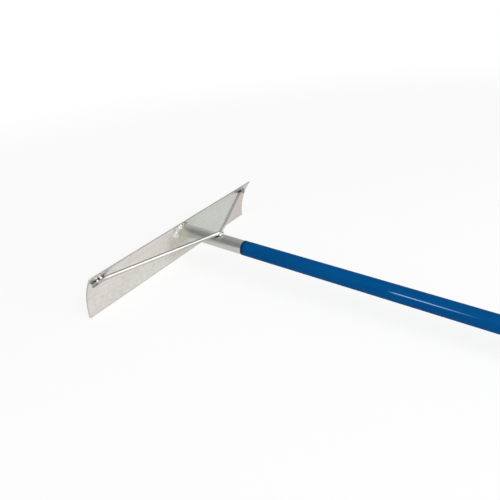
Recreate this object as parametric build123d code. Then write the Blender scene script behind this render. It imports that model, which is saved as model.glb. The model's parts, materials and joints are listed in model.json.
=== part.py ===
from build123d import *
import math
import os

# A concrete placer lying on the floor: +Z up, X along the blade, the handle towards -Y.
# The origin is the middle of the blade's working edge, which stands on the floor at Z = 0.
# All sizes are in millimetres and degrees.

# Blade: a sheet rolled to a shallow curve, with its lower edge square to the floor
BLADE_LENGTH = 495.3
BLADE_WIDTH = 101.6  # round the curve of the hollow face
BLADE_THICKNESS = 2.3
BLADE_RADIUS = 152.4  # of the hollow face
BLADE_CORNER_RADIUS = 2.0

# Handle: a tube welded to the hollow face, with a thin sleeve and a plug at the grip end
TUBE_DIAMETER = 28.575
TUBE_WALL = 1.65
HANDLE_LENGTH = 1524.0  # along the tube's axis, from the blade's hollow face
UPPER_LAND = 3.3  # blade left free above the weld
SLEEVE_START = 162.0  # along the tube's axis, from the blade's hollow face
SLEEVE_WALL = 0.3
SLEEVE_CLEARANCE = 0.05
PLUG_DEPTH = 22.0
PLUG_CLEARANCE = 0.1
PLUG_HEAD_THICKNESS = 4.5
PLUG_HEAD_RADIUS = 2.2

# Welds
WELD_LEG = 4.0
WELD_CROWN = 0.5  # thickness of the bead's upper rim on the tube
BRACE_WELD_RADIUS = 3.2
BRACE_WELD_STEP = 4.0  # from the brace's middle to the bead's, out of the V
BRACE_WELD_DROP = 2.6  # from the brace's middle to the bead's, towards the tube
BRACE_WELD_TAIL = 0.7  # straight bead on each side of the bend

# Brace: one round rod bent in a plane, its point over the tube and its ends along the blade
BRACE_DIAMETER = 7.94
BRACE_REACH = 106.0  # along the tube's axis, from the blade's hollow face to the point of the V
BRACE_LIFT = 0.8  # the point of the V stands this much clear of the tube
BRACE_BEND_RADIUS = 10.0
BRACE_INSET = 6.0  # from the brace's tip to the end of the blade
BRACE_END = 29.5  # from the tip to the corner where the leg turns off the blade
BRACE_DROP = 19.7  # from the blade's upper edge to the brace's end, round the curve
BRACE_TIP_RADIUS = 0.8
BRACE_CLEARANCE = 0.05

# Tacks: two short beads above each end of the brace
TACK_RADIUS = 2.6
TACK_LENGTH = 5.0
TACK_INSET = 12.5  # from the brace's tip to the middle of the outer tack
TACK_SPACING = 8.5
TACK_STEP = 4.4  # from the brace's middle to the tack's, up the blade
TACK_LIFT = 1.6  # from the blade to the tack's middle

# Places that follow from those sizes
TUBE_RADIUS = TUBE_DIAMETER / 2
SLEEVE_BORE = TUBE_RADIUS + SLEEVE_CLEARANCE
SLEEVE_RADIUS = SLEEVE_BORE + SLEEVE_WALL
BRACE_RADIUS = BRACE_DIAMETER / 2
HANDLE_DROP = TUBE_RADIUS + WELD_LEG + UPPER_LAND  # from the blade's upper edge to the tube's axis
CURVE_Y = -(BLADE_RADIUS + BLADE_THICKNESS / 2)  # the roll's axis lies on the floor, along X at this Y


def on_hollow_face(x, drop):
    """Point of the hollow face at x, a drop round the curve below the upper edge, with its tangent plane.

    The plane's z axis leaves the face on the hollow side and its x axis runs along -X.
    """
    angle = (BLADE_WIDTH - drop) / BLADE_RADIUS
    point = Vector(x, CURVE_Y + BLADE_RADIUS * math.cos(angle), BLADE_RADIUS * math.sin(angle))
    return Plane(point, x_dir=(-1, 0, 0), z_dir=(0, -math.cos(angle), -math.sin(angle)))


def rolled_sheet(thickness, width):
    """Curved sheet behind the hollow face, up from the working edge; the width is round the curve."""
    angle = math.degrees(width / BLADE_RADIUS)
    near = CenterArc((CURVE_Y, 0), BLADE_RADIUS, 0, angle)
    far = CenterArc((CURVE_Y, 0), BLADE_RADIUS + thickness, 0, angle)
    outline = near + far + Line(near @ 0, far @ 0) + Line(near @ 1, far @ 1)
    return extrude(make_face(Plane.YZ * outline), amount=BLADE_LENGTH / 2, both=True)


def bar(radius, low, high):
    """Round bar along Z between two heights."""
    return Pos(0, 0, low) * Cylinder(radius, high - low, align=(Align.CENTER, Align.CENTER, Align.MIN))


def handle_frame():
    """Plane on the tube's axis at the blade: z runs towards the grip, y is square to the tube and upwards.

    The tube slopes down so that the sleeve's far end touches the floor.
    """
    seat = on_hollow_face(0, HANDLE_DROP).origin
    reach = math.hypot(HANDLE_LENGTH, SLEEVE_RADIUS)
    slope = math.asin(seat.Z / reach) - math.atan2(SLEEVE_RADIUS, HANDLE_LENGTH)
    return Plane(seat, x_dir=(1, 0, 0), z_dir=(0, -math.cos(slope), -math.sin(slope)))


HANDLE = handle_frame()


def handle_rod(radius, start, end):
    """Solid round bar on the tube's axis, between two distances from the blade's hollow face."""
    return HANDLE * bar(radius, start, end)


BRACE_FACE = on_hollow_face(BRACE_INSET - BLADE_LENGTH / 2, BRACE_DROP)
BRACE_TIP = BRACE_FACE.origin + BRACE_FACE.z_dir * (BRACE_RADIUS + BRACE_CLEARANCE)
BRACE_CORNER = BRACE_TIP + Vector(BRACE_END, 0, 0)
BRACE_POINT = HANDLE.from_local_coords(Vector(0, TUBE_RADIUS + BRACE_RADIUS + BRACE_LIFT, BRACE_REACH))
BRACE_LEG = (BRACE_CORNER - BRACE_POINT).normalized()  # from the point of the V out to the left end
TACK_PLACES = {"outer": TACK_INSET, "inner": TACK_INSET + TACK_SPACING}


def mirrored(shape):
    """The same piece on the right-hand half of the blade."""
    return mirror(shape, about=Plane.YZ)


def across_blade(point):
    """The same point on the right-hand half of the blade."""
    return Vector(-point.X, point.Y, point.Z)


def blade():
    """Rolled sheet with small round corners."""
    sheet = rolled_sheet(BLADE_THICKNESS, BLADE_WIDTH)
    corners = sheet.edges().filter_by(lambda edge: math.isclose(edge.length, BLADE_THICKNESS, rel_tol=1e-6))
    return fillet(corners, BLADE_CORNER_RADIUS)


def beyond_hollow_face():
    """Block of space behind the hollow face and on past its upper edge, to trim what stands on that face."""
    margin = 2 * TUBE_DIAMETER
    return rolled_sheet(margin, BLADE_WIDTH + margin)


def handle_tube():
    """Tube whose front end is cut to the hollow face."""
    front = -2 * TUBE_RADIUS
    tube = handle_rod(TUBE_RADIUS, front, HANDLE_LENGTH)
    tube -= handle_rod(TUBE_RADIUS - TUBE_WALL, front, HANDLE_LENGTH)
    return tube - beyond_hollow_face()


def handle_sleeve():
    """Thin skin round the tube, from behind the brace to the grip end."""
    skin = handle_rod(SLEEVE_RADIUS, SLEEVE_START, HANDLE_LENGTH)
    return skin - handle_rod(SLEEVE_BORE, SLEEVE_START, HANDLE_LENGTH)


def end_plug():
    """Moulded plug: a shank in the tube's bore and a round-edged head on its end."""
    bore = TUBE_RADIUS - TUBE_WALL
    shank = handle_rod(bore - PLUG_CLEARANCE, HANDLE_LENGTH - PLUG_DEPTH, HANDLE_LENGTH)
    head = handle_rod(TUBE_RADIUS, HANDLE_LENGTH, HANDLE_LENGTH + PLUG_HEAD_THICKNESS)
    rim = head.edges().sort_by(Axis((0, 0, 0), HANDLE.z_dir))[-1]
    return shank + fillet(rim, PLUG_HEAD_RADIUS)


def tube_weld():
    """Fillet bead round the tube: a slanted cone on the hollow face, with the tube's outside taken out."""
    face = on_hollow_face(0, HANDLE_DROP)
    stretch = 1 / math.cos(math.radians(face.z_dir.get_angle(HANDLE.z_dir)))

    def ring(height):
        radius = TUBE_RADIUS + WELD_CROWN + (WELD_LEG - WELD_CROWN) * (1 - height / WELD_LEG)
        centre = HANDLE.origin + HANDLE.z_dir * (height * stretch)
        return Plane(centre, x_dir=face.x_dir, z_dir=face.z_dir) * Ellipse(radius, radius * stretch)

    bead = loft([ring(-BLADE_THICKNESS), ring(WELD_LEG)])
    bead -= handle_rod(TUBE_RADIUS, -2 * TUBE_DIAMETER, 2 * TUBE_DIAMETER)
    return bead - beyond_hollow_face()


def brace():
    """Round rod bent to a V over the tube, with both ends turned to lie along the hollow face."""
    corners = [BRACE_TIP, BRACE_CORNER, BRACE_POINT, across_blade(BRACE_CORNER), across_blade(BRACE_TIP)]
    path = FilletPolyline(*corners, radius=BRACE_BEND_RADIUS)
    rod = sweep(Plane(BRACE_TIP, z_dir=(1, 0, 0)) * Circle(BRACE_RADIUS), path=path)
    edges = rod.edges().sort_by(Axis.X)
    return fillet([edges[0], edges[-1]], BRACE_TIP_RADIUS)


def tack(place):
    """Short bead in the corner above the left end of the brace, at a distance from the brace's tip."""
    face = on_hollow_face(BRACE_TIP.X + place, BRACE_DROP)
    across = Plane(face.origin, x_dir=-face.y_dir, z_dir=(1, 0, 0))
    section = Pos(TACK_STEP, TACK_LIFT) * Circle(TACK_RADIUS)
    section -= Pos(0, BRACE_RADIUS + BRACE_CLEARANCE) * Circle(BRACE_RADIUS + BRACE_CLEARANCE)
    bead = extrude(across * section, amount=TACK_LENGTH / 2, both=True)
    return bead - beyond_hollow_face()


def brace_weld():
    """Bead round the outside of the brace's bend, in the corner between the rod and the top of the tube."""
    turn = math.radians(BRACE_LEG.get_angle(Vector(-1, 0, 0)))
    end = BRACE_POINT + BRACE_LEG * (BRACE_BEND_RADIUS * math.tan(turn) + BRACE_WELD_TAIL)
    path = FilletPolyline(end, BRACE_POINT, across_blade(end), radius=BRACE_BEND_RADIUS)
    out_of_bend = BRACE_LEG * BRACE_LEG.dot(Vector(1, 0, 0)) - Vector(1, 0, 0)
    section = Pos(BRACE_WELD_STEP, -BRACE_WELD_DROP) * Circle(BRACE_WELD_RADIUS)
    section -= Circle(BRACE_RADIUS + BRACE_CLEARANCE)
    bead = sweep(Plane(end, x_dir=out_of_bend, z_dir=BRACE_LEG) * section, path=path)
    return bead - handle_rod(TUBE_RADIUS, 0, SLEEVE_START)


pieces = {
    "blade": blade(),
    "handle_tube": handle_tube(),
    "handle_sleeve": handle_sleeve(),
    "end_plug": end_plug(),
    "tube_weld": tube_weld(),
    "brace": brace(),
    "brace_weld": brace_weld(),
}
for name, place in TACK_PLACES.items():
    pieces[f"left_{name}_tack"] = tack(place)
    pieces[f"right_{name}_tack"] = mirrored(tack(place))

os.makedirs("parts", exist_ok=True)
for name, piece in pieces.items():
    export_step(piece, f"parts/{name}.step")
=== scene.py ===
import json
import math

import bmesh
import bpy
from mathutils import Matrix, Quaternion, Vector


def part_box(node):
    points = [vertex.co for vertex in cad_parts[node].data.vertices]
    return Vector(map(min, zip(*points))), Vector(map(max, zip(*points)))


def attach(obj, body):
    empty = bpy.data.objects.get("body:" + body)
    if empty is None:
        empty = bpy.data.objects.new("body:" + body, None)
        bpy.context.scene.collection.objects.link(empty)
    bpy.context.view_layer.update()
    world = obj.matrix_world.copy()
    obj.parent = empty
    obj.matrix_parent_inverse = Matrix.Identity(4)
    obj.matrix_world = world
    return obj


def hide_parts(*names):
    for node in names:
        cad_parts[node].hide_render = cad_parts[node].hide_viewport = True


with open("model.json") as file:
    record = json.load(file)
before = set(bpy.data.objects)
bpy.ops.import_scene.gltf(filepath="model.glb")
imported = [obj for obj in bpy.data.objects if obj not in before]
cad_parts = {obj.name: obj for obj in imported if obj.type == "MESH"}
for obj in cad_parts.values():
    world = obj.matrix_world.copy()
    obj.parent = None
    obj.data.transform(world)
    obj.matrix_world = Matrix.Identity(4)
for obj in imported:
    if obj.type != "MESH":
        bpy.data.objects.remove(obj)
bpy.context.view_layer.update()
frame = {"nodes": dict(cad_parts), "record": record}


# Blade: one strip of mill-finish aluminium sheet, sheared to size and rolled to a shallow curve.
# Its corners are clipped round and its edges deburred. It stands on its lower, working edge,
# and the welding of the handle has left a dull brown bloom on the middle of its hollow face.
blade_low, blade_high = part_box("blade")
BLADE_HALF = (blade_high.x - blade_low.x) / 2  # from its middle to an end
SHEET_THICKNESS = 2 * blade_high.y  # the working edge stands square across the origin
BLADE_WIDTH = 0.1016  # up the hollow face
ROLL_RADIUS = 0.1524  # of the hollow face
CORNER_ROUND = 0.002
EDGE_ROUND = 0.0004
EDGE_TURNS = (0, 30, 60, 90)  # points round an edge, in degrees
FACE_STEPS = 48  # up each face
BODY_STEPS = 60  # along the blade
END_STEPS = (0, 0.0001, 0.00025, 0.0004, 0.0008, 0.0013, CORNER_ROUND)  # in from each end
CREASE = math.radians(50)  # edges that turn more than this stay crisp
BRACE_UP = BLADE_WIDTH - 0.0197  # the brace's ends, up the hollow face
BRACE_TIP = 0.006  # from the brace's tip to the end of the blade
BRACE_CORNER = BRACE_TIP + 0.0295  # from the brace's corner to the end of the blade
BLOOM_ASIDE = 0.002  # middle of the heat bloom, from the blade's middle
BLOOM_UP = 0.052  # and up the hollow face
BLOOM_FADE = (0.016, 0.058)  # from that middle
BLOOM_SQUASH = 0.8
SMUT_BESIDE = (0.0038, 0.0064)  # painted shade and weld smut fade this far to each side of the brace's end
SMUT_INNER = (0.034, 0.029)  # and this far from the brace's tip, at their inner end
SMUT_OUTER = (0.012, 0.004)  # and at its outer end
SHEARED_FADE = (0.0022, 0.0008)  # in from each end
HOLLOW_LIFT = (-0.0012, -0.0005)  # through the sheet, from its middle to its hollow side
EDGE_SCUFF_UP = (0.0, 0.005)  # the scuffs of the working edge die out this far up,
EDGE_LINE_UP = (0.0012, 0.0026)  # and its worn corner this far
COOL_ALONG = (0.0, 0.07)  # the sheet is painted darker and cooler to the right of its middle, as painted shade,
ROSE_ALONG = (0.19, 0.24)  # and rosy towards its right-hand end,
CLOUD_DRIFT = 0.04  # with these borders shifted by its clouds
SHEET_BRIGHT = (0.760, 0.740, 0.700, 1)
SHEET_DULL = (0.610, 0.588, 0.552, 1)
SHEET_COOL = (0.605, 0.635, 0.585, 1)
SHEET_COOL_DULL = (0.505, 0.535, 0.485, 1)
SHEET_ROSE = (0.590, 0.530, 0.500, 1)
HEAT_BLOOM = (0.45, 0.44, 0.37, 1)
SCUFFED_EDGE = (0.50, 0.49, 0.475, 1)
SHEARED_END = (0.38, 0.37, 0.36, 1)
# dark colour of weld smut and of painted shade in corners and under the brace
WELD_SMUT = (0.07, 0.066, 0.062, 1)


def on_blade(x, up, lift):
    """Point at x, a distance up the hollow face, lifted off that face towards its hollow side."""
    angle = up / ROLL_RADIUS
    reach = ROLL_RADIUS - lift
    return Vector((x, reach * math.cos(angle) - ROLL_RADIUS - SHEET_THICKNESS / 2, reach * math.sin(angle)))


def inset_at(distance, radius):
    """How far a corner of that radius has drawn in, at a distance from the end."""
    return radius - math.sqrt(radius**2 - max(radius - distance, 0) ** 2)


def run_between(first, last, steps):
    """Points that divide the straight run from first to last, without its two ends."""
    return [first.lerp(last, step / steps) for step in range(1, steps)]


def sheet_outline(shrink, thin):
    """Section of the sheet as (up, lift) points: hollow face, upper edge, back, lower edge."""
    bottom, top = shrink + EDGE_ROUND, BLADE_WIDTH - shrink - EDGE_ROUND
    front, back = -thin - EDGE_ROUND, thin - SHEET_THICKNESS + EDGE_ROUND
    centres = ((bottom, front), (top, front), (top, back), (bottom, back))
    arcs = []
    for centre, start in zip(centres, (180, 90, 0, -90)):
        turns = [math.radians(start - turn) for turn in EDGE_TURNS]
        arcs.append([Vector(centre) + EDGE_ROUND * Vector((math.cos(a), math.sin(a))) for a in turns])
    hollow_face = run_between(arcs[0][-1], arcs[1][0], FACE_STEPS)
    back_face = run_between(arcs[2][-1], arcs[3][0], FACE_STEPS)
    return arcs[0] + hollow_face + arcs[1] + arcs[2] + back_face + arcs[3]


def skin(name, rings, flat=None, ends="filled"):
    """Piece with quads between rings of points.

    With ends "filled" both end rings are filled, with "first filled" only the first one,
    and with "joined" the last ring is joined to the first.
    flat gives each point's place in the stock before it was formed, for grain that follows the stock.
    """
    count = len(rings[0])
    mesh = bpy.data.meshes.new(name)
    shape = bmesh.new()
    corners = [[shape.verts.new(point) for point in ring] for ring in rings]
    followers = corners[1:] + corners[:1] if ends == "joined" else corners[1:]
    for ring, following in zip(corners, followers):
        for k in range(count):
            after = (k + 1) % count
            shape.faces.new((ring[k], ring[after], following[after], following[k]))
    if ends != "joined":
        shape.faces.new(corners[0])
    if ends == "filled":
        shape.faces.new(corners[-1])
    bmesh.ops.recalc_face_normals(shape, faces=shape.faces)
    shape.to_mesh(mesh)
    shape.free()
    mesh.shade_smooth()
    mesh.set_sharp_from_angle(angle=CREASE)
    if flat:
        places = mesh.attributes.new("flat", "FLOAT_VECTOR", "POINT")
        places.data.foreach_set("vector", [value for ring in flat for place in ring for value in place])
    piece = bpy.data.objects.new(name, mesh)
    bpy.context.scene.collection.objects.link(piece)
    return piece


body_run = BLADE_HALF - CORNER_ROUND
blade_stations = [(step - BLADE_HALF, step) for step in END_STEPS]
blade_stations += [(body_run * (2 * k / BODY_STEPS - 1), CORNER_ROUND) for k in range(1, BODY_STEPS)]
blade_stations += [(BLADE_HALF - step, step) for step in reversed(END_STEPS)]
blade_flat = [
    [(x, *place) for place in sheet_outline(inset_at(step, CORNER_ROUND), inset_at(step, EDGE_ROUND))]
    for x, step in blade_stations
]
blade = skin("rolled_blade", [[on_blade(*place) for place in ring] for ring in blade_flat], blade_flat)


class Wire:
    """A socket of a node tree. Sums and products of wires and numbers add Math nodes to the tree."""

    def __init__(self, tree, socket=None):
        self.tree = tree
        self.socket = socket

    def node(self, kind, settings, inputs, output=0):
        """New node in the same tree. Settings are set first, then values or links go to its sockets."""
        node = self.tree.nodes.new("ShaderNode" + kind)
        for name, value in settings.items():
            setattr(node, name, value)
        for name, value in inputs.items():
            if isinstance(value, Wire):
                self.tree.links.new(value.socket, node.inputs[name])
            else:
                node.inputs[name].default_value = value
        return Wire(self.tree, node.outputs[output] if node.outputs else None)

    def math(self, operation, first, second):
        return self.node("Math", {"operation": operation}, {0: first, 1: second})

    def __add__(self, other):
        return self.math("ADD", self, other)

    __radd__ = __add__

    def __sub__(self, other):
        return self.math("SUBTRACT", self, other)

    def __rsub__(self, other):
        return self.math("SUBTRACT", other, self)

    def __mul__(self, other):
        return self.math("MULTIPLY", self, other)

    __rmul__ = __mul__

    def size(self):
        return self.math("ABSOLUTE", self, 0)

    def between(self, low, high):
        """0 below low, 1 above high, with a soft step from one to the other."""
        span = {"Value": self, "From Min": low, "From Max": high}
        return self.node("MapRange", {"interpolation_type": "SMOOTHSTEP"}, span)

    def part(self, axis):
        """One coordinate of a place: X, Y or Z."""
        return self.node("SeparateXYZ", {}, {"Vector": self}, axis)

    def scaled(self, factors):
        return self.node("VectorMath", {"operation": "MULTIPLY"}, {0: self, 1: factors})

    def away_from(self, place):
        return self.node("VectorMath", {"operation": "DISTANCE"}, {0: self, 1: place}, "Value")

    def noise(self, scale, detail):
        return self.node("TexNoise", {}, {"Vector": self, "Scale": scale, "Detail": detail})

    def grain(self, scales, detail):
        """Noise with its own scale along each axis."""
        return self.scaled(scales).noise(1.0, detail)

    def tint(self, first, second):
        """Colour that goes from first to second as this wire goes from 0 to 1."""
        return self.node("Mix", {"data_type": "RGBA"}, {0: self, 6: first, 7: second}, 2)

    def bump(self, depth):
        """Normal of a surface that rises by depth metres as this wire goes from 0 to 1."""
        return self.node("Bump", {}, {"Height": self, "Distance": depth, "Strength": 1.0})


def finish(name, attribute=None):
    """New material, and a wire with the object's coordinates or with an attribute of its mesh."""
    material = bpy.data.materials.new(name)
    material.use_nodes = True
    material.node_tree.nodes.clear()
    start = Wire(material.node_tree)
    if attribute:
        return material, start.node("Attribute", {"attribute_name": attribute}, {}, "Vector")
    return material, start.node("TexCoord", {}, {}, "Object")


def surface(material, inputs):
    """Gives a material its shader."""
    start = Wire(material.node_tree)
    shader = start.node("BsdfPrincipled", {}, inputs)
    start.node("OutputMaterial", {}, {"Surface": shader})


mill_sheet, sheet = finish("mill_sheet", attribute="flat")
length_along = sheet.part("X")
from_middle = length_along.size()
height_up = sheet.part("Y")
hollow_side = sheet.part("Z").between(*HOLLOW_LIFT)
roll_lines = sheet.grain((5, 900, 900), 3.0)
streaks = sheet.grain((3, 90, 90), 2.0)
clouds = sheet.noise(14.0, 3.0)
mottle = sheet.grain((110, 190, 190), 3.0)
pickle = sheet.noise(1800.0, 1.0)
scratches = sheet.grain((22, 1300, 300), 1.0).between(0.69, 0.73)
sheet_wear = (0.25 * clouds + 0.55 * mottle + 0.25 * streaks + 0.15 * roll_lines).between(0.38, 0.82)
from_bloom = sheet.scaled((1, BLOOM_SQUASH, 1)).away_from((BLOOM_ASIDE, BLOOM_SQUASH * BLOOM_UP, 0))
weld_heat = (1 - from_bloom.between(*BLOOM_FADE)) * sheet.noise(60.0, 2.0).between(0.0, 0.6)
edge_scuff = 1 - height_up.between(*EDGE_SCUFF_UP)
edge_scuff = edge_scuff * sheet.grain((60, 400, 400), 2.0).between(0.3, 0.6)
edge_line = 1 - height_up.between(*EDGE_LINE_UP)
brace_end = BLADE_HALF - BRACE_TIP
# painted shade along the brace's ends, in the corner between rod and blade, with some weld smut
by_brace = 1 - (height_up - BRACE_UP).size().between(*SMUT_BESIDE)
by_brace = by_brace * from_middle.between(*(brace_end - step for step in SMUT_INNER))
by_brace = by_brace * (1 - from_middle.between(*(brace_end - step for step in SMUT_OUTER)))
smut = by_brace * hollow_side * sheet.noise(260.0, 2.0).between(0.25, 0.55)
end_face = from_middle.between(*(BLADE_HALF - step for step in SHEARED_FADE))
ragged_along = length_along + CLOUD_DRIFT * clouds
# painted shade: the right half of the sheet is darkened and cooled, in place of its dimmer reflection
cool_half = 0.85 * ragged_along.between(*COOL_ALONG)
rose_end = 0.8 * ragged_along.between(*ROSE_ALONG)
sheet_colour = sheet_wear.tint(SHEET_BRIGHT, SHEET_DULL)
sheet_colour = cool_half.tint(sheet_colour, sheet_wear.tint(SHEET_COOL, SHEET_COOL_DULL))
sheet_colour = rose_end.tint(sheet_colour, SHEET_ROSE)
sheet_colour = (0.7 * weld_heat).tint(sheet_colour, HEAT_BLOOM)
sheet_colour = (0.5 * edge_scuff + 0.4 * edge_line + 0.35 * scratches).tint(sheet_colour, SCUFFED_EDGE)
sheet_colour = (0.3 * end_face).tint(sheet_colour, SHEARED_END)
sheet_rough = 0.28 + 0.10 * clouds + 0.08 * roll_lines + 0.08 * weld_heat
surface(mill_sheet, {
    "Base Color": (0.8 * smut).tint(sheet_colour, WELD_SMUT),
    "Metallic": 1.0,
    "Roughness": sheet_rough + 0.06 * scratches + 0.3 * end_face,
    "Normal": (roll_lines + 0.25 * pickle - 0.6 * scratches).bump(0.00004),
})
blade.data.materials.append(mill_sheet)
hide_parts("blade")
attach(blade, "root")


# Handle tube: drawn aluminium tube with a thin wall, its front end cut to the blade's hollow face.
# It is bare from the blade to the sleeve and shows fine lines from the drawing die.
# Heat has coloured it next to its weld. Painted shade darkens it under the point of the brace and on its
# underside, and a painted highlight runs along its upper side.
TUBE_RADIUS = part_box("handle_tube")[1].x
HANDLE_LENGTH = 1.524  # along the tube, from the hollow face to the grip end
TUBE_HEAT_FADE = (0.020, 0.045)  # from the middle of the tube's foot
POINT_SMUT_AT = 0.101  # along the tube, from the hollow face
POINT_SMUT_TURN = math.radians(112)  # round the tube, from its right-hand side
POINT_SMUT_FADE = (0.0025, 0.0065)
UNDERSIDE_OVER = (-0.003, 0.005)  # the painted shade on the underside, warm in tone, ends here over the tube's axis
OLIVE_ASIDE = (-0.0048, -0.0008)  # the painted olive highlight along the upper side starts here off the middle
OLIVE_OVER = (0.004, 0.008)  # and here over the axis,
OLIVE_FADE = (0.09, 0.12)  # and weakens here along the tube
TUBE_BRIGHT = (0.58, 0.62, 0.58, 1)
TUBE_DULL = (0.49, 0.535, 0.495, 1)
TUBE_STRAW = (0.80, 0.80, 0.72, 1)
TUBE_WARM = (0.52, 0.495, 0.47, 1)
TUBE_OLIVE = (0.80, 0.82, 0.70, 1)
grip = next(mount for mount in frame["record"]["mounts"] if mount["name"] == "handle_grip")
GRIP_LENGTH = grip["dims"]["length_mm"] / 1000
SLEEVE_RADIUS = grip["dims"]["r_mm"] / 1000
along = Vector(grip["axis"])  # towards the grip end
aside = Vector((1, 0, 0))
above = along.cross(aside)
seat = Vector(grip["pos_m"]) - along * (HANDLE_LENGTH - GRIP_LENGTH / 2)


def round_tube(angle):
    """Direction square to the tube, turned from its right-hand side towards its top."""
    return aside * math.cos(angle) + above * math.sin(angle)


def on_tube(distance, angle, radius=TUBE_RADIUS):
    """Point at a distance from the hollow face along the tube, and at a radius from its axis."""
    return seat + along * distance + round_tube(angle) * radius


drawn_tube, tube_place = finish("drawn_tube")
tube_slope = math.atan2(along.z, -along.y)
tube_seat = Quaternion(aside, tube_slope) @ seat
tube = tube_place.node(
    "VectorRotate", {"rotation_type": "X_AXIS"}, {"Vector": tube_place, "Angle": tube_slope}
)
off_middle = tube.part("X")
from_blade = tube_seat.y - tube.part("Y")
over_axis = tube.part("Z") - tube_seat.z
die_lines = tube.grain((1100, 3, 1100), 2.0)
tube_clouds = tube.grain((40, 9, 40), 2.0)
tube_heat = 1 - tube_place.away_from(seat).between(*TUBE_HEAT_FADE)
# painted shade: the underside of the tube is darkened and warmed
underside = 1 - over_axis.between(*UNDERSIDE_OVER)
# painted highlight: a lighter olive band along the tube's upper side
upper_side = off_middle.between(*OLIVE_ASIDE) * over_axis.between(*OLIVE_OVER)
upper_side = upper_side * (1 - 0.7 * from_blade.between(*OLIVE_FADE))
# painted shade on the tube under the brace's point
from_smut = tube_place.away_from(on_tube(POINT_SMUT_AT, POINT_SMUT_TURN))
point_smut = 1 - from_smut.between(*POINT_SMUT_FADE)
tube_colour = (0.5 * die_lines + 0.5 * tube_clouds).between(0.3, 0.7).tint(TUBE_BRIGHT, TUBE_DULL)
tube_colour = (0.8 * underside).tint(tube_colour, TUBE_WARM)
tube_colour = (0.9 * upper_side).tint(tube_colour, TUBE_OLIVE)
tube_colour = (0.7 * tube_heat).tint(tube_colour, TUBE_STRAW)
surface(drawn_tube, {
    "Base Color": (0.9 * point_smut).tint(tube_colour, WELD_SMUT),
    "Metallic": 1.0,
    "Roughness": 0.20 + 0.08 * tube_clouds + 0.08 * die_lines + 0.08 * tube_heat,
    "Normal": die_lines.bump(0.00003),
})
frame["nodes"]["handle_tube"].data.materials[0] = drawn_tube


# Tube weld: one run of filler metal round the tube on the blade's hollow face.
# The welder's dabs of filler rod lie on each other like fallen coins, with a lump low on the left.
WELD_LEG = 0.004
WELD_CROWN = 0.0007
WELD_SINK = 0.00015  # of the bead's edges in the metal that it joins
WELD_WANDER = 0.05  # slow rise and fall of the leg, as a share of it
SIDE_LUMP = (0.35, 3.0, 0.6)  # share that is added to the leg, where round the tube, and how wide
LOW_LUMP = (0.65, 3.95, 0.42)
WIDE_TOE = (0.9, 3.55, 0.45)  # the same for the bead's edge on the blade
DAB_PITCH = 0.0062
DAB_HEIGHT = 0.0012
DAB_SPREAD = 0.10  # of the bead's edges under a dab, as a share of the leg
PLAIN_EDGE = 0.6  # height of a dab at which the leg is as given,
PLAIN_CROWN = 0.5  # and at which the crown is
DAB_CURVE = 0.55  # how far the middle of a dab runs ahead of its edges, in dabs
WELD_STEPS = 504  # round the tube
WELD_ACROSS = 12  # over the bead
SOOT_LEFT = (-0.0115, -0.006)  # painted shade on the bead starts here, from left to right,
SOOT_RIGHT = (0.02, 0.03)  # and stops here,
SOOT_BACK = (-0.09, -0.08)  # and it leaves out what lies farther from the blade than this
TACK_SOOT = (0.20, 0.21)  # on tacks, it lies on those to the right of here
WELD_BRIGHT = (0.84, 0.835, 0.82, 1)
WELD_SOOT = (0.40, 0.385, 0.37, 1)
roll_axis = Vector((0, -ROLL_RADIUS - SHEET_THICKNESS / 2, 0))


def full_turn(count):
    """Angles of that many points round a circle."""
    return [2 * math.pi * k / count for k in range(count)]


def tube_foot(angle):
    """Point where a line along the tube's outside meets the hollow face."""
    start = on_tube(0, angle) - roll_axis
    start.x = 0
    nearest = -start.dot(along)  # along the line, to its point nearest the roll's axis
    step = nearest - math.sqrt(nearest**2 - start.length_squared + ROLL_RADIUS**2)
    return on_tube(step, angle)


def dab_rise(phase):
    """Height of the dabs, from 0 in a valley to about 1 on a crest, as each dab adds 1 to the phase.

    Every other dab is larger, and no two are quite alike.
    """
    number = math.floor(phase)
    crest = 0.8 + 0.25 * math.cos(math.pi * number) + 0.15 * math.sin(2.4 * number)
    return abs(math.sin(math.pi * phase)) * crest


def swell(angle, share, place, width):
    """The share at a place round the tube, fading out to each side of it."""
    return share * math.exp(-(((angle - place) / width) ** 2))


def weld_ring(angle, phase):
    """Section of the bead, from its edge on the blade over the crown to its edge on the tube."""
    foot = tube_foot(angle)
    off_tube = round_tube(angle)
    off_blade = roll_axis - foot
    off_blade.x = 0
    off_blade.normalize()
    run = off_blade.cross(off_tube).normalized()
    out = run.cross(off_blade)
    out *= math.copysign(1 + swell(angle, *WIDE_TOE), out.dot(off_tube))
    rise = off_tube.cross(run)
    rise *= math.copysign(1, rise.dot(along))
    leg_length = WELD_LEG * (1 + swell(angle, *SIDE_LUMP) + swell(angle, *LOW_LUMP))
    leg_length *= 1 + WELD_WANDER * math.sin(3 * angle + 1)
    ring, flat = [], []
    for k in range(WELD_ACROSS + 1):
        across = k / WELD_ACROSS
        arch = 4 * across * (1 - across)
        dab = dab_rise((phase + DAB_CURVE * arch) % dab_count)
        reach = leg_length * (1 + DAB_SPREAD * (dab - PLAIN_EDGE))
        point = foot + reach * ((1 - across) * out + across * rise)
        point += (out + rise).normalized() * arch * (WELD_CROWN + DAB_HEIGHT * (dab - PLAIN_CROWN))
        point -= WELD_SINK * ((1 - across) ** 4 * off_blade + across**4 * off_tube)
        ring.append(point)
        flat.append((phase, across, dab))
    ring.append(foot - WELD_SINK * (off_blade + off_tube))
    flat.append((phase, 0.5, 0))
    return ring, flat


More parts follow.
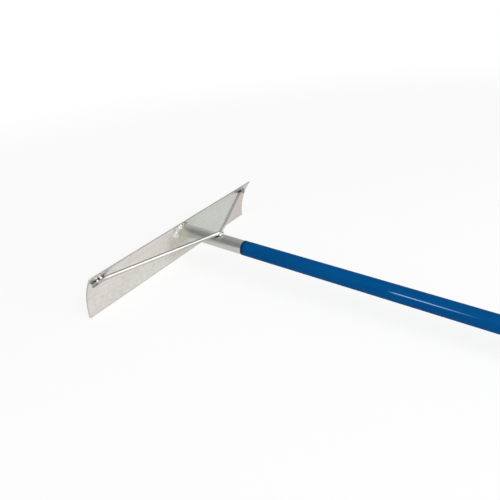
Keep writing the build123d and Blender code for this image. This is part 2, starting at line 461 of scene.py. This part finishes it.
weld_angles = full_turn(WELD_STEPS)
weld_feet = [tube_foot(angle) for angle in weld_angles]
weld_steps = [(foot - before).length for before, foot in zip(weld_feet, weld_feet[1:] + weld_feet[:1])]
dab_count = 2 * round(sum(weld_steps) / DAB_PITCH / 2)
weld_phases = [dab_count * sum(weld_steps[:k]) / sum(weld_steps) for k in range(WELD_STEPS)]
weld_rings, weld_flat = zip(*map(weld_ring, weld_angles, weld_phases))
tube_weld = skin("tube_weld_bead", weld_rings, weld_flat, "joined")

weld_metal, weld = finish("weld_metal", attribute="flat")
valley = 1 - weld.part("Z").between(0.05, 0.55)
weld_place = weld.node("TexCoord", {}, {}, "Object")
weld_right = weld_place.part("X")
weld_grain = weld_place.noise(1500.0, 3.0)
# painted shade: the bead's top and right side and the right-hand tacks are darkened
by_tube = weld_right.between(*SOOT_LEFT) * (1 - weld_right.between(*SOOT_RIGHT))
by_tube = by_tube * weld_place.part("Y").between(*SOOT_BACK)
right_tacks = weld_right.between(*TACK_SOOT)
weld_colour = (0.75 * valley + 0.25 * weld_grain).between(0.15, 0.95).tint(WELD_BRIGHT, WELD_SOOT)
surface(weld_metal, {
    "Base Color": (0.6 * (by_tube + right_tacks)).tint(weld_colour, WELD_SMUT),
    "Metallic": 1.0,
    "Roughness": 0.20 + 0.18 * valley + 0.12 * weld_grain,
    "Normal": weld_grain.bump(0.00008),
})
tube_weld.data.materials.append(weld_metal)
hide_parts("tube_weld")
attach(tube_weld, "root")


# Brace: one round aluminium rod bent in a plane to a V, with its point over the tube.
# Its two ends are bent back to lie along the hollow face.
# Both tips are sheared off at a slant, which runs the same way on both.
ROD_RADIUS = 0.00397
ROD_BEND = 0.010  # at the point of the V
CORNER_BEND = 0.040  # where each leg leaves the blade
ROD_GAP = 0.00005  # between the rod's ends and the blade
POINT_REACH = 0.106  # along the tube, from the hollow face to the point of the V
POINT_LIFT = 0.0008  # the point stands this much clear of the tube
TIP_ROUND = 0.0008
TIP_STEPS = (0.00002, 0.0001, 0.00025, 0.00045, TIP_ROUND)  # in from each tip
LEFT_TIP = 0.003  # from the left-hand tip to the end of the blade
RIGHT_TIP = 0.014  # the same on the right, which was sheared shorter
SHEAR_SLANT = 0.8  # length of the slanting cut at a tip, in rod diameters
SHEAR_FADE = 0.018
ROD_POINTS = 48
END_RUNS = 16  # along each end,
CORNER_STEPS = 10  # round each corner,
LEG_RUNS = 110  # along each leg
POINT_STEPS = 12  # and round half of the point
RUB_PLACE = (0, 0.50 * ROD_RADIUS, 0.87 * ROD_RADIUS)  # the rod's upper side, left clear of the painted shade at the tips
RUB_FADE = (0.0018, 0.0034)
TIP_SMUT_FADE = (0.012, 0.016)  # from each tip
OUTER_SIDE = (0.0008, 0.0030)  # across the rod, towards the outside of the V
LEFT_WEAR_END = (-0.04, 0.03)  # along the blade, as are the next four
LEFT_FILM_START = (-0.10, -0.06)
LEFT_FILM_END = (-0.025, -0.01)
RIGHT_FILM_START = (0.01, 0.04)
CORNER_FILM_END = (-0.205, -0.165)
ROD_BRIGHT = (0.80, 0.79, 0.76, 1)
ROD_DULL = (0.50, 0.495, 0.475, 1)
# dark colour of the painted shade on the legs
ROD_FILM = (0.30, 0.29, 0.27, 1)


def bend(start, direction, towards, radius, turn, steps):
    """Stations round a bend, as points with their directions."""
    side = (towards - direction * direction.dot(towards)).normalized()
    stations = []
    for k in range(steps + 1):
        angle = turn * k / steps
        point = start + radius * (direction * math.sin(angle) + side * (1 - math.cos(angle)))
        stations.append((point, direction * math.cos(angle) + side * math.sin(angle)))
    return stations


brace_corner = on_blade(BRACE_CORNER - BLADE_HALF, BRACE_UP, ROD_RADIUS + ROD_GAP)
brace_point = on_tube(POINT_REACH, math.pi / 2, TUBE_RADIUS + ROD_RADIUS + POINT_LIFT)
leg = (brace_point - brace_corner).normalized()
leg_turn = leg.angle(aside)
brace_square = leg.cross(aside).normalized()  # square to the plane that the rod is bent in
end_run = brace_corner - aside * CORNER_BEND * math.tan(leg_turn / 2)
leg_start = brace_corner + leg * CORNER_BEND * math.tan(leg_turn / 2)
leg_end = brace_point - leg * ROD_BEND * math.tan(leg_turn)


def half_rod(tip):
    """Stations from a tip, at that distance from the blade's left end, to the point of the V."""
    start = on_blade(tip - BLADE_HALF, BRACE_UP, ROD_RADIUS + ROD_GAP)
    stations = [(start + aside * step, aside) for step in TIP_STEPS]
    stations += [(point, aside) for point in run_between(stations[-1][0], end_run, END_RUNS)]
    stations += bend(end_run, aside, leg, CORNER_BEND, leg_turn, CORNER_STEPS)
    stations += [(point, leg) for point in run_between(leg_start, leg_end, LEG_RUNS)]
    return stations + bend(leg_end, leg, aside, ROD_BEND, leg_turn, POINT_STEPS)


rod_line = half_rod(LEFT_TIP)
for point, direction in reversed(half_rod(RIGHT_TIP)[:-1]):
    mirrored = Vector((-point.x, point.y, point.z))
    rod_line.append((mirrored, Vector((direction.x, -direction.y, -direction.z))))
rod_distances = [0]
for (before, _), (point, _) in zip(rod_line, rod_line[1:]):
    rod_distances.append(rod_distances[-1] + (point - before).length)
brace_rings, brace_flat = [], []
for (point, direction), distance in zip(rod_line, rod_distances):
    to_tip = min(distance, rod_distances[-1] - distance)
    radius = ROD_RADIUS - inset_at(to_tip, TIP_ROUND)
    slant = SHEAR_SLANT * max(0, 1 - to_tip / SHEAR_FADE) ** 2
    left_or_right = math.copysign(1, -point.x)
    wide_way = direction.cross(brace_square)
    ring, flat = [], []
    for angle in full_turn(ROD_POINTS):
        wide, high = radius * math.cos(angle), radius * math.sin(angle)
        back = slant * (left_or_right * ROD_RADIUS - wide)
        ring.append(point + wide * wide_way + high * brace_square + aside * back)
        flat.append((to_tip, wide, high))
    brace_rings.append(ring)
    brace_flat.append(flat)
brace = skin("bent_brace", brace_rings, brace_flat)

drawn_rod, rod = finish("drawn_rod", attribute="flat")
from_tip = rod.part("X")
outer_side = rod.part("Y").between(*OUTER_SIDE)
rod_right = rod.node("TexCoord", {}, {}, "Object").part("X")
rod_lines = rod.grain((8, 1500, 1500), 2.0)
rod_clouds = rod.grain((30, 120, 120), 2.0)
rod_nicks = rod.noise(500.0, 1.0).between(0.70, 0.76)
# painted shade along the sides of the rod's ends, where they lie on the blade
rubbed = 1 - rod.scaled((0, 1, 1)).away_from(RUB_PLACE).between(*RUB_FADE)
tip_smut = (1 - from_tip.between(*TIP_SMUT_FADE)) * (1 - rubbed)
tip_smut = tip_smut * (0.4 + 0.6 * rod.noise(600.0, 2.0))
# painted shade: the left leg is dulled and its highlight toned down near the point and the corner, and the
# outer side of the right leg is darkened
left_leg = 1 - rod_right.between(*LEFT_WEAR_END)
rod_wear = (0.25 * rod_lines + 0.25 * rod_clouds + 0.2 * rod_nicks + 0.4 * left_leg).between(0.05, 0.75)
right_film = rod_right.between(*RIGHT_FILM_START) * outer_side
left_film = rod_right.between(*LEFT_FILM_START) * (1 - rod_right.between(*LEFT_FILM_END))
left_film = left_film + 0.5 * (1 - rod_right.between(*CORNER_FILM_END))
rod_colour = rod_wear.tint(ROD_BRIGHT, ROD_DULL)
rod_colour = (0.68 * right_film + 0.47 * left_film).tint(rod_colour, ROD_FILM)
surface(drawn_rod, {
    "Base Color": (0.85 * tip_smut).tint(rod_colour, WELD_SMUT),
    "Metallic": 1.0,
    "Roughness": 0.24 + 0.06 * rod_clouds + 0.06 * rod_lines,
    "Normal": (rod_lines + 0.3 * rod_clouds - 0.5 * rod_nicks).bump(0.00003),
})
brace.data.materials.append(drawn_rod)
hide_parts("brace")
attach(brace, "root")


# Brace weld: a short rippled bead of filler metal round the outside of the brace's bend.
# It fills the corner between the rod and the top of the tube.
BEAD_RADIUS = 0.0032
BEAD_STEP = 0.004  # from the rod's middle, out of the V
BEAD_DROP = 0.0026  # from the rod's middle towards the tube
BEAD_TAIL = 0.0007  # straight on at each side of the bend
BEAD_DAB = 0.0026
BEAD_VALLEY = 0.90  # radius between two dabs, as a share of the bead's
BEAD_CREST = 0.13  # share that a dab adds
BEAD_POINTS = 28
BEAD_RUNS = 40
BEAD_END_STEPS = (0.00003, 0.0002, 0.0005, 0.0009, 0.0014)  # in from each end


def rippled_bead(node, place_at, length, radius):
    """Round-ended bead of weld metal. place_at gives a point and a direction at a distance along it."""
    stops = [length * k / BEAD_RUNS for k in range(1, BEAD_RUNS)]
    for step in BEAD_END_STEPS:
        stops += [step, length - step]
    bead_rings, bead_flat = [], []
    for distance in sorted(stops):
        point, direction = place_at(distance)
        wide_way = direction.cross(brace_square)
        taper = inset_at(min(distance, length - distance), radius)
        ring, flat = [], []
        for k, angle in enumerate(full_turn(BEAD_POINTS)):
            dab = dab_rise(distance / BEAD_DAB + DAB_CURVE * math.sin(angle))
            reach = (radius - taper) * (BEAD_VALLEY + BEAD_CREST * dab)
            ring.append(point + reach * (wide_way * math.cos(angle) + brace_square * math.sin(angle)))
            flat.append((distance, k / BEAD_POINTS, dab))
        bead_rings.append(ring)
        bead_flat.append(flat)
    piece = skin(f"{node}_bead", bead_rings, bead_flat)
    piece.data.materials.append(weld_metal)
    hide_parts(node)
    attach(piece, "root")


bead_round = ROD_BEND + BEAD_STEP
bead_half = leg_turn + BEAD_TAIL / bead_round
into_bend = brace_square.cross(aside)
bend_middle = brace_point + into_bend * ROD_BEND / math.cos(leg_turn)


def round_point(distance):
    """Place along the bead, round the outside of the bend from left to right."""
    angle = distance / bead_round - bead_half
    out = aside * math.sin(angle) - into_bend * math.cos(angle)
    point = bend_middle + bead_round * out - brace_square * BEAD_DROP
    return point, aside * math.cos(angle) + into_bend * math.sin(angle)


rippled_bead("brace_weld", round_point, 2 * bead_half * bead_round, BEAD_RADIUS)


# Tacks: two short beads of filler metal between the blade and the upper side of each brace end.
# They are all that holds the rod's ends to the blade.
TACK_RADIUS = 0.0029
TACK_LENGTH = 0.0055
TACKS = {  # from the rod's tip, from the rod's middle up the blade, and off the blade
    "outer": (0.0125, 0.0036, 0.0024),
    "inner": (0.0205, 0.0056, 0.0014),
}
for side_name, side in (("left", -1), ("right", 1)):
    for place_name, (place, step, lift) in TACKS.items():
        tack_start = side * (BLADE_HALF - BRACE_TIP - place) - TACK_LENGTH / 2

        def along_tack(distance):
            """Place along the tack, from left to right."""
            return on_blade(tack_start + distance, BRACE_UP + step, lift), aside

        rippled_bead(f"{side_name}_{place_name}_tack", along_tack, TACK_LENGTH, TACK_RADIUS)


# Spatter: small drops of weld metal that flew off and froze on the blade beside the welds.
# Each is a low round dome.
DROPS = (  # along the blade, down from its upper edge, and radius
    (-0.2310, 0.0095, 0.0013),
    (-0.0215, 0.0060, 0.0016),
    (-0.0205, 0.0420, 0.0013),
    (0.2265, 0.0100, 0.0011),
)
DOME_TILTS = (100, 85, 70, 55, 40, 25, 12, 3)  # rings of points, in degrees from the top
DOME_POINTS = 20
DOME_HEIGHT = 0.7  # as a share of the radius
dome_turns = full_turn(DOME_POINTS)
for number, (x, drop, radius) in enumerate(DROPS, 1):
    rings = []
    for tilt in DOME_TILTS:
        wide = radius * math.sin(math.radians(tilt))
        high = DOME_HEIGHT * radius * math.cos(math.radians(tilt))
        rings.append([
            on_blade(x + wide * math.cos(turn), BLADE_WIDTH - drop + wide * math.sin(turn), high)
            for turn in dome_turns
        ])
    drop_piece = skin(f"spatter_{number}", rings, [[(0, 0, 1) for _ in ring] for ring in rings])
    drop_piece.data.materials.append(weld_metal)
    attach(drop_piece, "root")


# Sleeve: a thin blue vinyl tube, shrunk on the handle from behind the brace to the grip end.
# It was cut by hand, so its front edge isn't quite square. Its upper left side carries a painted highlight,
# one long thin pale streak.
SLEEVE_WALL = 0.0003
SLEEVE_EDGE = 0.00012  # rounding of its two ends
EDGE_MIDDLE = 0.3 * SLEEVE_EDGE  # how far the rounding draws in halfway round
CUT_WAVE = 0.0003
CUT_RIPPLE = 0.00015
CUT_FADE = 0.02  # length over which the points behind the cut come into line
CUT_SHADE = (0.002, 0.008)  # painted shade just behind the cut
SLEEVE_POINTS = 120
SLEEVE_RUNS = 90
SCUFF_START = 0.287  # from the sleeve's front edge
SCUFF_RISE = 0.02  # from its start to full strength,
SCUFF_FULL = 0.06  # to where it begins to die out
SCUFF_LENGTH = 0.15  # and to its end
SCUFF_ANGLE = math.radians(147)
SCUFF_FADE = (0.0003, 0.0010)  # to each side of its middle
SLEEVE_BLUE = (0.0004, 0.062, 0.206, 1)
SLEEVE_FADED = (0.0008, 0.073, 0.230, 1)
SLEEVE_RUB = (0.02, 0.12, 0.29, 1)
SLEEVE_CUT = (0.0006, 0.022, 0.085, 1)
SLEEVE_SCUFF = (0.27, 0.44, 0.76, 1)
sleeve_front = HANDLE_LENGTH - GRIP_LENGTH
sleeve_bore = SLEEVE_RADIUS - SLEEVE_WALL
sleeve_line = [
    (sleeve_front, sleeve_bore),
    (sleeve_front, SLEEVE_RADIUS - SLEEVE_EDGE),
    (sleeve_front + EDGE_MIDDLE, SLEEVE_RADIUS - EDGE_MIDDLE),
]
sleeve_line += [
    (sleeve_front + SLEEVE_EDGE + (GRIP_LENGTH - 2 * SLEEVE_EDGE) * k / SLEEVE_RUNS, SLEEVE_RADIUS)
    for k in range(SLEEVE_RUNS + 1)
]
sleeve_line += [(HANDLE_LENGTH, SLEEVE_RADIUS - SLEEVE_EDGE), (HANDLE_LENGTH, sleeve_bore)]


def sleeve_ring(stop):
    """Points round the sleeve at a distance and radius, and their places along and across the tube."""
    distance, radius = stop
    ring, flat = [], []
    for angle in full_turn(SLEEVE_POINTS):
        uneven = CUT_WAVE * math.sin(2 * angle + 0.4) + CUT_RIPPLE * math.sin(5 * angle)
        reach = distance + uneven * max(0, 1 - (distance - sleeve_front) / CUT_FADE)
        ring.append(on_tube(reach, angle, radius))
        flat.append((reach, radius * math.cos(angle), radius * math.sin(angle)))
    return ring, flat


sleeve_rings, sleeve_flat = zip(*map(sleeve_ring, sleeve_line))
sleeve = skin("grip_sleeve", sleeve_rings, sleeve_flat, "joined")

blue_vinyl, vinyl = finish("blue_vinyl", attribute="flat")
from_cut = vinyl.part("X") - sleeve_front
vinyl_streaks = vinyl.grain((6, 260, 260), 3.0)
vinyl_clouds = vinyl.grain((9, 30, 30), 2.0)
vinyl_peel = vinyl.noise(700.0, 2.0)
vinyl_rubs = vinyl.grain((40, 500, 500), 2.0).between(0.70, 0.78)
# painted highlight: one thin pale streak along the sleeve's upper left side
scuff_line = (0, SLEEVE_RADIUS * math.cos(SCUFF_ANGLE), SLEEVE_RADIUS * math.sin(SCUFF_ANGLE))
scuff = 1 - vinyl.scaled((0, 1, 1)).away_from(scuff_line).between(*SCUFF_FADE)
scuff = scuff * from_cut.between(SCUFF_START, SCUFF_START + SCUFF_RISE)
scuff = scuff * (1 - from_cut.between(SCUFF_START + SCUFF_FULL, SCUFF_START + SCUFF_LENGTH))
vinyl_fade = (0.5 * vinyl_streaks + 0.5 * vinyl_clouds).between(0.3, 0.7)
vinyl_colour = vinyl_fade.tint(SLEEVE_BLUE, SLEEVE_FADED)
vinyl_colour = (0.8 - 0.8 * from_cut.between(*CUT_SHADE)).tint(vinyl_colour, SLEEVE_CUT)
vinyl_colour = (0.25 * vinyl_rubs).tint(vinyl_colour, SLEEVE_RUB)
surface(blue_vinyl, {
    "Base Color": scuff.tint(vinyl_colour, SLEEVE_SCUFF),
    "Roughness": 0.42 + 0.12 * vinyl_clouds + 0.08 * vinyl_rubs,
    "Specular IOR Level": 0.02,
    "Normal": (vinyl_peel + 0.5 * vinyl_streaks).bump(0.00005),
})
sleeve.data.materials.append(blue_vinyl)
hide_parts("handle_sleeve")
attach(sleeve, "root")


# End plug: a black moulded plug pushed into the tube's bore, with a round-edged head.
# Its end face is a little dished, with the mark of the mould's gate in the middle.
PLUG_DEPTH = 0.022
PLUG_SHANK = 0.01253  # radius
PLUG_LEAD = (0.0006, 0.0012)  # lead-in at the shank's end, across and along
PLUG_CORE = 0.0008  # radius at which the shank's end is filled across
PLUG_HEAD = 0.0045
PLUG_BREAK = 0.0003  # small bevel of the head against the tube
PLUG_RIM = 0.0022
RIM_TURNS = range(0, 91, 9)  # points round the rim, in degrees
DISH = ((0.0095, 0), (0.0085, 0.0004), (0.0022, 0.0005))  # radius, and depth below the rim's top
GATE_MARK = ((0.0020, 0.0003), (0.0006, 0.0002))  # the same
PLUG_POINTS = 96
PLUG_BLACK = (0.016, 0.016, 0.017, 1)
PLUG_GREY = (0.028, 0.028, 0.029, 1)
plug_profile = [
    (PLUG_CORE, -PLUG_DEPTH),
    (PLUG_SHANK - PLUG_LEAD[0], -PLUG_DEPTH),
    (PLUG_SHANK, PLUG_LEAD[1] - PLUG_DEPTH),
    (PLUG_SHANK, 0),
    (TUBE_RADIUS - PLUG_BREAK, 0),
    (TUBE_RADIUS, PLUG_BREAK),
]
for rim_angle in map(math.radians, RIM_TURNS):
    rim_in, rim_down = PLUG_RIM * (1 - math.cos(rim_angle)), PLUG_RIM * (1 - math.sin(rim_angle))
    plug_profile.append((TUBE_RADIUS - rim_in, PLUG_HEAD - rim_down))
plug_profile += [(radius, PLUG_HEAD - depth) for radius, depth in DISH + GATE_MARK]
plug_angles = full_turn(PLUG_POINTS)
plug = skin("grip_plug", [
    [on_tube(HANDLE_LENGTH + height, angle, radius) for angle in plug_angles]
    for radius, height in plug_profile
])

black_plastic, plastic = finish("black_plastic")
plastic_grain = plastic.noise(2200.0, 2.0)
plastic_clouds = plastic.noise(160.0, 2.0)
plastic_fade = (0.5 * plastic_grain + 0.5 * plastic_clouds).between(0.3, 0.7)
surface(black_plastic, {
    "Base Color": plastic_fade.tint(PLUG_BLACK, PLUG_GREY),
    "Roughness": 0.52 + 0.14 * plastic_clouds,
    "Normal": plastic_grain.bump(0.00006),
})
plug.data.materials.append(black_plastic)
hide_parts("end_plug")
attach(plug, "root")


# Floor: a pale studio floor of matt paper that turns up into a low wall all round.
# Far from the tool it shows as plain white paper, and near the tool it takes its shadow.
# The top of the wall goes over into the grey of the ceiling.
FLOOR_DROP = 0.0003  # below the working edge
COVE = (  # distance from the tool's middle, and height
    (0.01, 0.0), (1.0, 0.0), (3.0, 0.0), (9.0, 0.0),
    (11.0, 0.1), (12.0, 0.4), (12.5, 1.0), (12.8, 2.2),
)
COVE_POINTS = 96
SHADOW_SHARE = 0.20  # how much of the lit paper shows near the tool
SHADOW_FADE = (1.2, 3.0)  # from the tool's middle
CEILING_FADE = (0.08, 0.34)  # how steeply up white goes over into the ceiling's grey
WALL_UP = 0.055  # steepness for each metre up the wall
WALL_BACK = 0.032  # and for each metre behind the blade
WALL_TOP = (0.9, 2.1)
PAPER = (0.92, 0.92, 0.92, 1)
PAPER_WHITE = (1, 1, 1, 1)
CEILING_GREY = (0.36, 0.36, 0.36, 1)
cove_turns = full_turn(COVE_POINTS)
tool_middle = seat + along * HANDLE_LENGTH / 2
cove_rings = []
for reach, rise in COVE:
    cove_rings.append([
        (tool_middle.x + reach * math.cos(turn), tool_middle.y + reach * math.sin(turn), rise - FLOOR_DROP)
        for turn in cove_turns
    ])
floor = skin("studio_floor", cove_rings, ends="first filled")
paper, spot = finish("studio_paper")
seen = spot.node("LightPath", {}, {}, "Is Camera Ray")
for ray in ("Is Glossy Ray", "Is Transmission Ray"):
    seen = seen.math("MAXIMUM", seen, spot.node("LightPath", {}, {}, ray))
far = spot.away_from((tool_middle.x, tool_middle.y, 0)).between(*SHADOW_FADE)
spot_height = spot.part("Z")
wall = (WALL_UP * spot_height + WALL_BACK * spot.part("Y")).between(*CEILING_FADE)
wall = wall * spot_height.between(*WALL_TOP)
glow = spot.node("Emission", {}, {"Color": wall.tint(PAPER_WHITE, CEILING_GREY), "Strength": 1.0})
matt = spot.node("BsdfDiffuse", {}, {"Color": PAPER})
mixed = spot.node("MixShader", {}, {0: seen * (1 - SHADOW_SHARE * (1 - far)), 1: matt, 2: glow})
spot.node("OutputMaterial", {}, {"Surface": mixed})
floor.data.materials.append(paper)


# Studio light: a white horizon under a dim ceiling, one very large soft box in front over the handle
# and a weaker one behind on the right.
BACK_SHADE = 0.4  # how much lower the dim ceiling comes down behind the blade
LIT_PLACE = Vector((0, -0.3, 0.05))
world = bpy.data.worlds.new("studio")
world.use_nodes = True
world.node_tree.nodes.clear()
bpy.context.scene.world = world
sky = Wire(world.node_tree).node("TexCoord", {}, {}, "Generated")
overhead = (sky.part("Z") + BACK_SHADE * sky.part("Y")).between(*CEILING_FADE)
room_colour = overhead.tint(PAPER_WHITE, CEILING_GREY)
room = sky.node("Background", {}, {"Color": room_colour, "Strength": 1.0})
sky.node("OutputWorld", {}, {"Surface": room})


def soft_box(name, direction, distance, size, power):
    """Square area lamp in a direction from the tool, turned to the tool."""
    lamp = bpy.data.lights.new(name, "AREA")
    lamp.size = size
    lamp.energy = power
    holder = bpy.data.objects.new(name, lamp)
    holder.location = LIT_PLACE + Vector(direction).normalized() * distance
    holder.rotation_mode = "QUATERNION"
    holder.rotation_quaternion = (LIT_PLACE - holder.location).to_track_quat("-Z", "Y")
    holder.visible_camera = False
    bpy.context.scene.collection.objects.link(holder)


soft_box("key_box", direction=(-0.35, -0.65, 0.67), distance=3.2, size=3.8, power=112)
soft_box("fill_box", direction=(0.45, 0.55, 0.70), distance=3.0, size=3.2, power=5)


# Camera: above the handle's left side, looking along the blade, rolled a little.
# Its place, aim and lens come from a fit of the blade, the tube and the brace to the photograph.
CAMERA_PLACE = Vector((-0.646139, -0.668669, 0.511736))
CAMERA_AIM = Vector((0.0, -0.197309, 0.068337))
CAMERA_ROLL = math.radians(-4.987)
CAMERA_LENS = 34.0794
CAMERA_SENSOR = 36
CAMERA_SIGHT = 100  # farthest distance that it shows
view = bpy.data.cameras.new("photo_camera")
view.lens = CAMERA_LENS
view.sensor_width = CAMERA_SENSOR
view.clip_end = CAMERA_SIGHT
camera = bpy.data.objects.new("photo_camera", view)
camera.location = CAMERA_PLACE
camera.rotation_mode = "QUATERNION"
unrolled = (CAMERA_AIM - CAMERA_PLACE).to_track_quat("-Z", "Y")
camera.rotation_quaternion = unrolled @ Quaternion((0, 0, 1), CAMERA_ROLL)
bpy.context.scene.collection.objects.link(camera)
bpy.context.scene.camera = camera
bpy.context.scene.view_settings.view_transform = "Standard"
